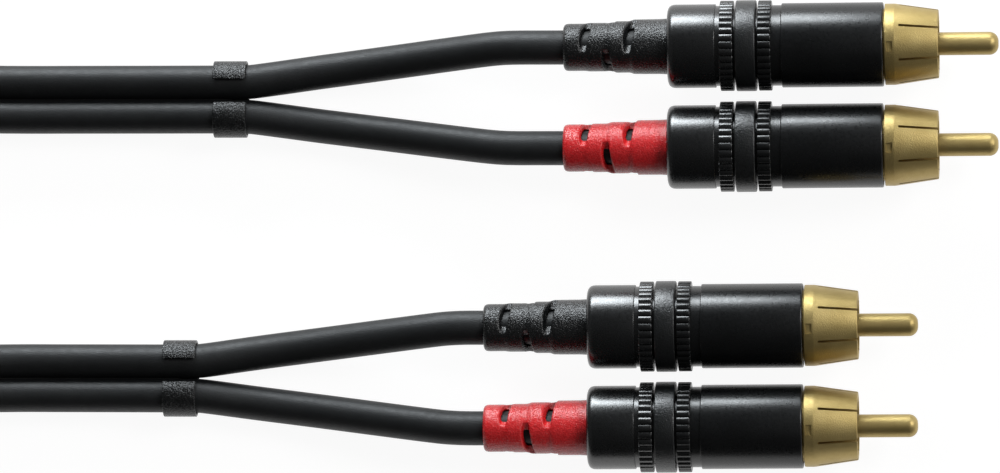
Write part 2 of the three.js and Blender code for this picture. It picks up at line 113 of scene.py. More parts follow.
def rounded(corners: Sequence[Corner], steps: int = 4) -> Outline:
    """Rounds the corners of a closed outline.

    Args:
        corners: station, radius and fillet size of each corner, in order.
        steps: pieces that each rounded corner is divided into.

    Returns:
        The outline's points, as station and radius.
    """
    outline: Outline = []
    for index, (station, radius, fillet) in enumerate(corners):
        corner = Vector((station, radius))
        if fillet == 0:
            outline.append(tuple(corner))
            continue
        before = Vector(corners[index - 1][:2]) - corner
        after = Vector(corners[(index + 1) % len(corners)][:2]) - corner
        start = corner + before.normalized() * fillet
        end = corner + after.normalized() * fillet
        for step in range(steps + 1):
            share = step / steps
            point = start * (1 - share) ** 2 + corner * 2 * share * (1 - share) + end * share**2
            outline.append(tuple(point))
    return outline


def mesh_of(
    name: str, points: np.ndarray, faces: Iterable[Sequence[int]], crease: float = 35
) -> bpy.types.Mesh:
    """Makes a smooth-shaded mesh whose creases stay sharp.

    Args:
        name: the mesh's name.
        points: its points, one row each.
        faces: point numbers of each face.
        crease: angle in degrees from which an edge is sharp.

    Returns:
        The mesh, with its faces turned outwards and no doubled points.
    """
    mesh = bpy.data.meshes.new(name)
    mesh.from_pydata(points.tolist(), [], list(faces))
    shape = bmesh.new()
    shape.from_mesh(mesh)
    bmesh.ops.remove_doubles(shape, verts=shape.verts, dist=MERGE_DISTANCE)
    bmesh.ops.recalc_face_normals(shape, faces=shape.faces)
    shape.to_mesh(mesh)
    shape.free()
    mesh.shade_smooth()
    mesh.set_sharp_from_angle(angle=math.radians(crease))
    return mesh


def grid_faces(rows: int, columns: int, close_rows: bool) -> list[Sequence[int]]:
    """Lists the four-sided faces of a grid of points whose rows close on themselves.

    Args:
        rows: number of rows.
        columns: number of points in a row.
        close_rows: whether the last row joins the first.

    Returns:
        The faces, as point numbers.
    """
    faces: list[Sequence[int]] = []
    for row in range(rows if close_rows else rows - 1):
        here = row * columns
        there = (row + 1) % rows * columns
        for column in range(columns):
            beside = (column + 1) % columns
            faces.append((here + column, here + beside, there + beside, there + column))
    return faces


def skinned(name: str, grid: np.ndarray, looped: bool, crease: float = 35) -> bpy.types.Mesh:
    """Covers rows of points, each closed on itself, with a skin.

    Args:
        name: the mesh's name.
        grid: places, in rows and columns.
        looped: whether the last row joins the first. If not, both get a face.
        crease: angle in degrees from which an edge is sharp.

    Returns:
        The closed mesh.
    """
    rows, columns = grid.shape[:2]
    faces = grid_faces(rows, columns, looped)
    if not looped:
        faces.append(list(range(columns)))
        faces.append(list(range(columns * (rows - 1), columns * rows)))
    return mesh_of(name, grid.reshape(-1, 3), faces, crease)


def turned(
    name: str, outline: Outline, sides: int, radius_at: RadiusRule | None = None
) -> bpy.types.Mesh:
    """Turns an outline about the plug's axis.

    Args:
        name: the mesh's name.
        outline: points as station and radius. It is closed, unless it starts and ends on the axis.
        sides: facets round the piece.
        radius_at: gives the radius at each angle from a station and the outline's radius.

    Returns:
        The turned mesh.
    """
    angles = np.linspace(0, 2 * math.pi, sides, endpoint=False)
    rows = []
    for station, radius in outline:
        stations = np.full(sides, station)
        radii = np.full(sides, radius) if radius_at is None else radius_at(station, radius, angles)
        rows.append(np.column_stack([stations, radii * np.cos(angles), radii * np.sin(angles)]))
    solid_core = outline[0][1] == 0 and outline[-1][1] == 0
    return mesh_of(name, np.vstack(rows), grid_faces(len(rows), sides, not solid_core))


def smooth_line(points: np.ndarray, step: float) -> np.ndarray:
    """Draws a centripetal curve through points.

    Args:
        points: one row for each point: its place, then anything that changes along with it.
        step: distance between the places that are returned.

    Returns:
        Rows like those of points, at even distances.
    """
    ends = np.vstack([2 * points[0] - points[1], points, 2 * points[-1] - points[-2]])
    spans = np.sqrt(np.linalg.norm(np.diff(ends[:, :3], axis=0), axis=1))
    share = np.linspace(0, 1, CURVE_SAMPLES, endpoint=False)[:, None]
    pieces = []
    for index in range(1, len(ends) - 2):
        before, start, end, after = ends[index - 1 : index + 3]
        first, middle, last = spans[index - 1 : index + 2]
        leaving = middle * (
            (start - before) / first - (end - before) / (first + middle) + (end - start) / middle
        )
        arriving = middle * (
            (end - start) / middle - (after - start) / (middle + last) + (after - end) / last
        )
        square = 3 * (end - start) - 2 * leaving - arriving
        cube = 2 * (start - end) + leaving + arriving
        pieces.append(start + leaving * share + square * share**2 + cube * share**3)
    line = np.vstack([*pieces, ends[-2][None]])
    along = np.concatenate([[0], np.cumsum(np.linalg.norm(np.diff(line[:, :3], axis=0), axis=1))])
    places = np.linspace(0, along[-1], max(2, round(along[-1] / step)) + 1)
    return np.column_stack([np.interp(places, along, column) for column in line.T])


def line_length(line: np.ndarray) -> float:
    """Returns the length of a line of points."""
    return float(np.linalg.norm(np.diff(line[:, :3], axis=0), axis=1).sum())


def swept(name: str, section: np.ndarray, line: np.ndarray) -> bpy.types.Mesh:
    """Sweeps a section along a line and closes both ends.

    Args:
        name: the mesh's name.
        section: points as distances sideways and upwards from the line.
        line: rows of a place and the section's roll there.

    Returns:
        The swept mesh.
    """
    places = line[:, :3]
    tangents = np.gradient(places, axis=0)
    tangents /= np.linalg.norm(tangents, axis=1)[:, None]
    level = np.column_stack([-tangents[:, 1], tangents[:, 0], np.zeros(len(line))])
    level /= np.linalg.norm(level, axis=1)[:, None]
    upwards = np.cross(tangents, level)
    roll = line[:, 3:4]
    across = level * np.cos(roll) + upwards * np.sin(roll)
    rise = upwards * np.cos(roll) - level * np.sin(roll)
    rings = places[:, None] + section[None, :, :1] * across[:, None] + section[None, :, 1:] * rise[:, None]
    return skinned(name, rings, False, crease=50)


def circle(radius: float, sides: int) -> np.ndarray:
    """Returns the points of a circle about the origin."""
    angles = np.linspace(0, 2 * math.pi, sides, endpoint=False)
    return radius * np.column_stack([np.cos(angles), np.sin(angles)])


@dataclass(frozen=True)
class Cutter:
    """A block that is carved away. Its rear wall can lean back towards the top."""

    low: Vector
    high: Vector
    placing: Matrix
    lean: float = 0

    def add_to(self, shape: bmesh.types.BMesh) -> None:
        """Adds the block to a mesh that is being made."""
        for corner in bmesh.ops.create_cube(shape, size=1)["verts"]:
            spans = zip(corner.co, self.low, self.high)
            place = Vector(low + (at + 0.5) * (high - low) for at, low, high in spans)
            if corner.co.x < 0 < corner.co.z:
                place.x -= self.lean
            corner.co = self.placing @ place


def blocks(name: str, cutters: Sequence[Cutter]) -> bpy.types.Mesh:
    """Makes separate blocks in one mesh, to carve with.

    Args:
        name: the mesh's name.
        cutters: the blocks.

    Returns:
        The mesh of all the blocks.
    """
    shape = bmesh.new()
    for cutter in cutters:
        cutter.add_to(shape)
    mesh = bpy.data.meshes.new(name)
    shape.to_mesh(mesh)
    shape.free()
    return mesh


def shaped(
    mesh: bpy.types.Mesh, dress: Callable[[bpy.types.Object], None], crease: float
) -> bpy.types.Mesh:
    """Runs modifiers on a mesh and keeps the result.

    Args:
        mesh: the mesh to work on, which is used up.
        dress: adds the modifiers to an object of that mesh.
        crease: angle in degrees from which an edge is sharp.

    Returns:
        The new mesh.
    """
    blank = placed(mesh.name, mesh)
    dress(blank)
    bpy.context.view_layer.update()
    finished = blank.evaluated_get(bpy.context.evaluated_depsgraph_get())
    result = bpy.data.meshes.new_from_object(finished)
    result.name = mesh.name
    bpy.data.objects.remove(blank)
    bpy.data.meshes.remove(mesh)
    result.shade_smooth()
    result.set_sharp_from_angle(angle=math.radians(crease))
    return result


def carved(mesh: bpy.types.Mesh, cutter: bpy.types.Mesh, crease: float = 30) -> bpy.types.Mesh:
    """Cuts one mesh away from another.

    Args:
        mesh: the mesh that is cut.
        cutter: what is taken away.
        crease: angle in degrees from which an edge is sharp.

    Returns:
        The carved mesh.
    """
    tool = placed(cutter.name, cutter)

    def cut(blank: bpy.types.Object) -> None:
        """Adds the cut."""
        step = blank.modifiers.new("cut", "BOOLEAN")
        step.operation = "DIFFERENCE"
        step.solver = "EXACT"
        step.object = tool

    result = shaped(mesh, cut, crease)
    bpy.data.objects.remove(tool)
    bpy.data.meshes.remove(cutter)
    return result


# Finishes


@dataclass(frozen=True)
class Speckle:
    """Soft noise: the size of its spots in metres, and how many finer layers it has."""

    size: float
    detail: float = 2


class Bench:
    """Lays out the shader nodes of a material or of the room."""

    def __init__(self, owner: bpy.types.Material | bpy.types.World, output: str) -> None:
        """Clears the owner's nodes and gives it an output and its places."""
        owner.use_nodes = True
        self.tree = owner.node_tree
        self.tree.nodes.clear()
        self.output = self.node(output)
        self.places = self.node("TexCoord").outputs

    def node(
        self, kind: str, sockets: Mapping[str | int, Source] | None = None, **settings: str
    ) -> bpy.types.Node:
        """Adds a node.

        Args:
            kind: Blender's name for the node, without its start.
            sockets: a link or a plain value for each input that is used.
            settings: values of its own settings.

        Returns:
            The node.
        """
        made = self.tree.nodes.new(f"ShaderNode{kind}")
        for name, value in settings.items():
            setattr(made, name, value)
        for name, source in (sockets or {}).items():
            if isinstance(source, bpy.types.NodeSocket):
                self.tree.links.new(source, made.inputs[name])
            else:
                made.inputs[name].default_value = source
        return made

    def show(self, shader: bpy.types.Node) -> None:
        """Sends a shader to the output."""
        self.tree.links.new(shader.outputs[0], self.output.inputs["Surface"])

    def stretched(self, scales: Place) -> bpy.types.NodeSocket:
        """Returns places whose three directions are scaled apart."""
        mapping = self.node("Mapping", {"Vector": self.places["Object"], "Scale": scales})
        return mapping.outputs["Vector"]

    def noise(self, speckle: Speckle, place: bpy.types.NodeSocket | None = None) -> bpy.types.NodeSocket:
        """Adds soft noise.

        Args:
            speckle: size and detail of its spots.
            place: places to read it at, instead of the plain ones.

        Returns:
            Its value, about 0.5 in the mean.
        """
        sockets = {
            "Vector": place or self.places["Object"],
            "Scale": 1 / speckle.size,
            "Detail": speckle.detail,
        }
        return self.node("TexNoise", sockets).outputs["Fac"]

    def spots(self, size: float) -> bpy.types.NodeSocket:
        """Returns the distance to the nearest of many scattered points, in spot sizes."""
        sockets = {"Vector": self.places["Object"], "Scale": 1 / size}
        return self.node("TexVoronoi", sockets).outputs["Distance"]

    def change(
        self, value: bpy.types.NodeSocket, span: Span, low: Source, high: Source, fade: Fade = Fade.EVEN
    ) -> bpy.types.NodeSocket:
        """Changes from low to high while a value goes through a span.

        Args:
            value: what it follows.
            span: where the change starts and ends.
            low: the result up to the start.
            high: the result from the end on.
            fade: whether the change is even or soft.

        Returns:
            The result.
        """
        sockets = {
            "Value": value,
            "From Min": span[0],
            "From Max": span[1],
            "To Min": low,
            "To Max": high,
        }
        return self.node("MapRange", sockets, interpolation_type=fade.value).outputs["Result"]

    def tones(self, share: bpy.types.NodeSocket, dark: Colour, light: Colour) -> bpy.types.NodeSocket:
        """Mixes two colours by a share between 0 and 1."""
        mix = self.node("Mix", {"Factor": share, "A": (*dark, 1), "B": (*light, 1)}, data_type="RGBA")
        return next(output for output in mix.outputs if output.type == "RGBA")

    def relief(
        self, height: bpy.types.NodeSocket, depth: float, under: bpy.types.NodeSocket | None = None
    ) -> bpy.types.NodeSocket:
        """Adds fine relief.

        Args:
            height: its height, from 0 to 1.
            depth: what 1 stands for, in metres.
            under: normal of coarser relief below it.

        Returns:
            The normal.
        """
        sockets = {"Height": height, "Strength": 1, "Distance": depth}
        if under is not None:
            sockets["Normal"] = under
        return self.node("Bump", sockets).outputs["Normal"]


@dataclass(frozen=True)
class Finish:
    """What every finish has.

    Its name, its slot in the record, two tones, a range of roughness, specular level and metallic share,
    then the noise that mixes the tones and the noise that moves the roughness.
    """

    name: str
    slot: str
    dark: Colour
    light: Colour
    rough: Span
    specular: float = 0.5
    metal: float = 0
    mottle: Speckle = Speckle(0.002, 3)
    wear: Speckle = Speckle(0.0006, 3)

    def normal(self, bench: Bench) -> bpy.types.NodeSocket:
        """Adds the finish's fine relief and returns its normal."""
        raise NotImplementedError

    def material(self) -> bpy.types.Material:
        """Builds the material."""
        made = bpy.data.materials.new(self.name)
        bench = Bench(made, "OutputMaterial")
        mottle = bench.change(bench.noise(self.mottle), NOISE_MIDDLE, 0, 1)
        sockets = {
            "Base Color": bench.tones(mottle, self.dark, self.light),
            "Metallic": self.metal,
            "Roughness": bench.change(bench.noise(self.wear), NOISE_MIDDLE, *self.rough),
            "Specular IOR Level": self.specular,
            "Normal": self.normal(bench),
        }
        bench.show(bench.node("BsdfPrincipled", sockets))
        return made


@dataclass(frozen=True)
class SatinLacquer(Finish):
    """Black lacquer on turned metal, with a fine even grain."""

    mottle: Speckle = Speckle(0.004)
    wear: Speckle = Speckle(0.0004, 3)
    grain: Speckle = Speckle(0.0002, 1)
    grain_depth: float = 0.000007

    def normal(self, bench: Bench) -> bpy.types.NodeSocket:
        """Adds the grain."""
        return bench.relief(bench.noise(self.grain), self.grain_depth)


@dataclass(frozen=True)
class Plating(Finish):
    """Bright plating over turned metal, with faint rings from the lathe and a fine grain."""

    metal: float = 1
    mottle: Speckle = Speckle(0.003)
    wear: Speckle = Speckle(0.0005, 3)
    rings: Speckle = Speckle(0.0003, 1)
    ring_stretch: Place = (1, 0.05, 0.05)
    ring_depth: float = 0.000003
    grain: Speckle = Speckle(0.00014, 1)
    grain_depth: float = 0.000035

    def normal(self, bench: Bench) -> bpy.types.NodeSocket:
        """Adds the grain over the rings."""
        rings = bench.noise(self.rings, bench.stretched(self.ring_stretch))
        return bench.relief(bench.noise(self.grain), self.grain_depth, bench.relief(rings, self.ring_depth))


@dataclass(frozen=True)
class GrainedMoulding(Finish):
    """Moulded plastic with a sparkling eroded grain."""

    mottle: Speckle = Speckle(0.0004, 3)
    wear: Speckle = Speckle(0.0002)
    grain: Speckle = Speckle(0.0002)
    grain_depth: float = 0.00003
    pit_size: float = 0.00014
    pit_share: float = 0.3

    def normal(self, bench: Bench) -> bpy.types.NodeSocket:
        """Adds shallow pits over the grain."""
        grain = bench.relief(bench.noise(self.grain), self.grain_depth)
        return bench.relief(bench.spots(self.pit_size), self.grain_depth * self.pit_share, grain)


@dataclass(frozen=True)
class SoftJacket(Finish):
    """Soft matt cable jacket with a fine skin and a little waviness."""

    mottle: Speckle = Speckle(0.002, 4)
    wear: Speckle = Speckle(0.0008, 3)
    waves: Speckle = Speckle(0.006, 1)
    wave_depth: float = 0.00004
    skin: Speckle = Speckle(0.0002)
    skin_depth: float = 0.00003

    def normal(self, bench: Bench) -> bpy.types.NodeSocket:
        """Adds the skin over the waves."""
        waves = bench.relief(bench.noise(self.waves), self.wave_depth)
        return bench.relief(bench.noise(self.skin), self.skin_depth, waves)


@dataclass(frozen=True)
class SmoothPlastic(Finish):
    """Plain moulded plastic with faint flow marks."""

    flow: Speckle = Speckle(0.0003)
    flow_depth: float = 0.000004

    def normal(self, bench: Bench) -> bpy.types.NodeSocket:
        """Adds the flow marks."""
        return bench.relief(bench.noise(self.flow), self.flow_depth)


BLACK_DARK: Colour = (0.003, 0.0034, 0.0037)
BLACK_LIGHT: Colour = (0.005, 0.0055, 0.006)
MOULDED_LIGHT: Colour = (0.006, 0.0068, 0.0073)
MOULDED_ROUGH: Span = (0.2, 0.32)
LACQUER = SatinLacquer(
    "satin_black_lacquer", "shell", BLACK_DARK, BLACK_LIGHT, rough=(0.26, 0.33), specular=0.55
)
CAP_LACQUER = SatinLacquer(
    "cap_black_lacquer", "shell", BLACK_DARK, BLACK_LIGHT, rough=(0.25, 0.31), specular=0.95
)
CODING_GREY = GrainedMoulding(
    "coding_ring_grey",
    "coding_ring",
    dark=(0.005, 0.006, 0.006),
    light=(0.009, 0.01, 0.011),
    rough=(0.27, 0.35),
    specular=0.7,
    grain_depth=0.00005,
)
GOLD = Plating(
    "pale_gold_plating",
    "gold",
    dark=(0.43, 0.32, 0.12),
    light=(0.5, 0.38, 0.155),
    rough=(0.4, 0.48),
    metal=0.85,
)
TIN = Plating("tinned_sheet", "tin", (0.5, 0.5, 0.48), (0.62, 0.61, 0.58), rough=(0.3, 0.42))
COPPER = Plating("bare_copper", "copper", (0.6, 0.28, 0.15), (0.72, 0.36, 0.2), rough=(0.25, 0.35))
WHITE_BUSH = SmoothPlastic(
    "natural_white_plastic", "insulator", (0.66, 0.64, 0.58), (0.76, 0.74, 0.68), rough=(0.35, 0.5)
)
BLACK_BOOT = GrainedMoulding(
    "grained_black_boot",
    "black_boot",
    BLACK_DARK,
    MOULDED_LIGHT,
    MOULDED_ROUGH,
    specular=0.62,
    grain_depth=0.00009,
)
RED_BOOT = GrainedMoulding(
    "grained_red_boot",
    "red_boot",
    dark=(0.6, 0.012, 0.015),
    light=(0.76, 0.024, 0.028),
    rough=MOULDED_ROUGH,
    specular=0.7,
    grain_depth=0.00008,
)
BAND_BLACK = GrainedMoulding(
    "grained_black_band", "band", BLACK_DARK, MOULDED_LIGHT, MOULDED_ROUGH, grain_depth=0.0001
)
JACKET = SoftJacket(
    "soft_grey_jacket",
    "jacket",
    dark=(0.0055, 0.0063, 0.007),
    light=(0.008, 0.009, 0.0098),
    rough=(0.48, 0.56),
    specular=0.46,
)


@functools.cache
def material_of(finish: Finish) -> bpy.types.Material:
    """Builds a finish's material once."""
    return finish.material()


def piece(name: str, mesh: bpy.types.Mesh, finish: Finish, nodes: Sequence[str]) -> bpy.types.Object:
    """Puts a finished piece into the scene.

    Args:
        name: the piece's name.
        mesh: its mesh, in the row frame.
        finish: its finish.
        nodes: the CAD nodes that it stands for, if any.

    Returns:
        The new object, riding on the lead.
    """
    mesh.materials.clear()
    mesh.materials.append(material_of(finish))
    body = placed(name, mesh)
    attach(body, "root")
    if nodes:
        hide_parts(*nodes)
    LOG.info("%s: %d faces", name, len(mesh.polygons))
    return body


# Plug pieces


@dataclass(frozen=True)
class CentrePin:
    """Signal pin: a round-nosed rod with a flange and a hollow solder cup behind."""

    radius: float = 0.00159
    reach: float = 0.01564
    tip_length: float = 0.00125
    flange_radius: float = 0.0022
    flange_front: float = -0.0065
    flange_rear: float = -0.0075
    cup_radius: float = 0.0014
    cup_bore: float = 0.0009
    cup_rear: float = -0.0135
    cup_floor: float = -0.009
    edge: float = 0.0001
    nose_flat: float = 0.2
    nose_steps: int = 12
    sides: int = 64

    def nose(self) -> Outline:
        """Returns the outline of the rounded nose, up to the axis."""
        start = self.reach - self.tip_length
        points: Outline = []
        for step in range(self.nose_steps + 1):
            angle = step / self.nose_steps * math.pi / 2
            radius = self.radius * (self.nose_flat + (1 - self.nose_flat) * math.cos(angle))
            points.append((start + self.tip_length * math.sin(angle), radius))
        return [*points, (self.reach, 0)]

    def mesh(self) -> bpy.types.Mesh:
        """Builds the pin in the plug's own frame."""
        rear = rounded(
            [
                (self.cup_floor, self.cup_bore, 0),
                (self.cup_rear, self.cup_bore, 0),
                (self.cup_rear, self.cup_radius, self.edge),
                (self.flange_rear, self.cup_radius, 0),
                (self.flange_rear, self.flange_radius, self.edge),
                (self.flange_front, self.flange_radius, self.edge),
                (self.flange_front, self.radius, 0),
            ]
        )
        outline = [(self.cup_floor, 0), *rear, *self.nose()]
        return turned("centre_pin", outline, self.sides)


@dataclass(frozen=True)
class GroundContact:
    """Gold-plated collar that widens towards its shoulder, slotted into springs, and the tail behind it.

    The cutters end outside the collar, cutter_length times its reach and cutter_height times its radius.
    """

    bore: float = 0.00415
    base_radius: float = 0.00562
    base_length: float = 0.00135
    mouth_radius: float = 0.00474
    reach: float = 0.0074
    tail_radius: float = 0.0049
    tail_rear: float = -0.009
    slots: int = 7
    slot_width: float = 0.00035
    slot_start: float = 0.00197
    first_slot: float = math.radians(27.4)
    recess_length: float = 0.00086
    recess_width: float = 0.0014
    recess_depth: float = 0.0003
    recess_offset: float = -0.0004
    tail_inner_edge: float = 0.0002
    tail_edge: float = 0.0003
    base_edge: float = 0.00012
    mouth_edge: float = 0.00015
    cutter_length: float = 1.2
    cutter_height: float = 1.3
    sides: int = 168

    def outline(self) -> Outline:
        """Returns the collar's and the tail's outline."""
        return rounded(
            [
                (self.tail_rear, self.bore, self.tail_inner_edge),
                (self.tail_rear, self.tail_radius, self.tail_edge),
                (0, self.tail_radius, 0),
                (0, self.base_radius, self.base_edge),
                (self.base_length, self.base_radius, self.base_edge),
                (self.reach, self.mouth_radius, self.mouth_edge),
                (self.reach, self.bore, self.mouth_edge),
            ]
        )

    def slot_cutters(self) -> list[Cutter]:
        """Returns the cutters for the spring slots."""
        half = self.slot_width / 2
        low = Vector((self.slot_start, -half, self.bore / 2))
        high = Vector((self.reach * self.cutter_length, half, self.base_radius * self.cutter_height))
        turns = [self.first_slot + slot / self.slots * 2 * math.pi for slot in range(self.slots)]
        return [Cutter(low, high, Matrix.Rotation(-turn, 4, "X")) for turn in turns]

    def recess_cutter(self) -> Cutter:
        """Returns the cutter for the small recess in the base."""
        front = (self.base_length + self.recess_length) / 2
        half = self.recess_width / 2
        floor = self.base_radius - self.recess_depth
        low = Vector((front - self.recess_length, self.recess_offset - half, floor))
        high = Vector((front, self.recess_offset + half, self.base_radius * self.cutter_height))
        return Cutter(low, high, Matrix.Identity(4))

    def mesh(self) -> bpy.types.Mesh:
        """Builds the contact in the plug's own frame."""
        blank = turned("ground_contact", self.outline(), self.sides)
        return carved(blank, blocks("slots", [*self.slot_cutters(), self.recess_cutter()]))


@dataclass(frozen=True)
class PlainRing:
    """Turned ring with a plain bore."""

    name: str
    front: float
    rear: float
    outer: float
    bore: float
    outer_edge: float
    bore_edge: float
    sides: int

    def mesh(self) -> bpy.types.Mesh:
        """Builds the ring in the plug's own frame."""
        corners = [
            (self.rear, self.bore, self.bore_edge),
            (self.rear, self.outer, self.outer_edge),
            (self.front, self.outer, self.outer_edge),
            (self.front, self.bore, self.bore_edge),
        ]
        return turned(self.name, rounded(corners), self.sides)


@dataclass(frozen=True)
class Insulator(PlainRing):
    """White bush between the two contacts."""

    name: str = "insulator"
    front: float = 0.0009
    rear: float = -0.0063
    outer: float = 0.00395
    bore: float = 0.00179
    outer_edge: float = 0.0002
    bore_edge: float = 0.0002
    sides: int = 72


@dataclass(frozen=True)
class CodingRing(PlainRing):
    """Plain ring between the shell and the cap, where other plugs of the kind carry a colour."""

    name: str = "coding_ring"
    front: float = -0.01777
    rear: float = -0.02057
    outer: float = 0.0063
    bore: float = 0.0052
    outer_edge: float = 0.0002
    bore_edge: float = 0
    sides: int = 144


@dataclass(frozen=True)
class Knurl:
    """Straight ridges round a ring, with rounded crowns and narrow grooves."""

    radius: float = 0.00625
    depth: float = 0.0003
    teeth: int = 38
    crown: float = 0.57
    groove_share: float = 0.07
    samples: int = 14
    edge: float = 0.00012

    @property
    def sides(self) -> int:
        """Facets round a piece that carries the ridges."""
        return self.teeth * self.samples

    def height(self, angles: np.ndarray) -> np.ndarray:
        """Returns how high the ridges stand at each angle, from 0 in a groove to 1 on top."""
        across = np.abs((angles * self.teeth / (2 * math.pi)) % 1 - 0.5)
        groove = np.clip(1 - (0.5 - across) / self.groove_share, 0, 1)
        return 1 - self.crown * (2 * across) ** 2 - (1 - self.crown) * groove

    def ridged(self, rear: float, front: float) -> RadiusRule:
        """Makes a rule that gives ridges to a stretch of a turned piece.

        Args:
            rear: the stretch's rear station.
            front: its front station.

        Returns:
            A rule for turned().
        """
        root = self.radius - self.depth

        def radius_at(station: float, radius: float, angles: np.ndarray) -> np.ndarray:
            """Lowers the radius between the ridges."""
            inside = rear - STATION_TOLERANCE <= station <= front + STATION_TOLERANCE
            if not inside or radius <= root:
                return np.full(len(angles), radius)
            return root + (radius - root) * self.height(angles)

        return radius_at


@dataclass(frozen=True)
class FrontShell:
    """Lacquered barrel with a neck, a knurled ring and a long threaded spigot."""

    knurl: Knurl
    front: float = -0.0002
    barrel_rear: float = -0.01425
    knurl_front: float = -0.01565
    knurl_rear: float = -0.01745
    spigot_rear: float = -0.02684
    barrel_radius: float = 0.005835
    barrel_bore: float = 0.0051
    neck_radius: float = 0.005575
    spigot_radius: float = 0.005
    spigot_bore: float = 0.0042
    shoulder: float = -0.0118
    mouth_edge: float = 0.00025
    bore_edge: float = 0.0001
    spigot_edge: float = 0.0003
    neck_edge: float = 0.00006
    barrel_edge: float = 0.00014

    def mesh(self) -> bpy.types.Mesh:
        """Builds the shell in the plug's own frame."""
        edge = self.knurl.edge
        corners = [
            (self.spigot_rear, self.spigot_bore, self.bore_edge),
            (self.spigot_rear, self.spigot_radius, self.spigot_edge),
            (self.knurl_rear, self.spigot_radius, 0),
            (self.knurl_rear, self.knurl.radius, edge),
            (self.knurl_front, self.knurl.radius, edge),
            (self.knurl_front, self.neck_radius, 0),
            (self.barrel_rear, self.neck_radius, self.neck_edge),
            (self.barrel_rear, self.barrel_radius, self.barrel_edge),
            (self.front, self.barrel_radius, self.mouth_edge),
            (self.front, self.barrel_bore, self.bore_edge),
            (self.shoulder, self.barrel_bore, 0),
            (self.shoulder, self.spigot_bore, 0),
        ]
        ridges = self.knurl.ridged(self.knurl_rear, self.knurl_front)
        return turned("front_shell", rounded(corners), self.knurl.sides, ridges)


@dataclass(frozen=True)
class RearCap:
    """Lacquered nut with a knurled front, a groove and a smooth skirt that is rounded behind."""

    knurl: Knurl
    front: float = -0.02089
    knurl_rear: float = -0.02274
    skirt_front: float = -0.02339
    rear: float = CAP_REAR
    lip_front: float = -0.02874
    bore: float = 0.0052
    mouth: float = 0.00407
    groove_radius: float = 0.00555
    skirt_radius: float = 0.00578
    rear_edge: float = 0.0011
    bore_edge: float = 0.0001
    mouth_edge: float = 0.00015
    skirt_edge: float = 0.0001
    edge_steps: int = 6

    def mesh(self) -> bpy.types.Mesh:
        """Builds the cap in the plug's own frame."""
        edge = self.knurl.edge
        corners = [
            (self.lip_front, self.bore, 0),
            (self.lip_front, self.mouth, self.bore_edge),
            (self.rear, self.mouth, self.mouth_edge),
            (self.rear, self.skirt_radius, self.rear_edge),
            (self.skirt_front, self.skirt_radius, self.skirt_edge),
            (self.skirt_front, self.groove_radius, 0),
            (self.knurl_rear, self.groove_radius, 0),
            (self.knurl_rear, self.knurl.radius, edge),
            (self.front, self.knurl.radius, edge),
            (self.front, self.bore, self.bore_edge),
        ]
        ridges = self.knurl.ridged(self.knurl_rear, self.front)
        return turned("rear_cap", rounded(corners, self.edge_steps), self.knurl.sides, ridges)


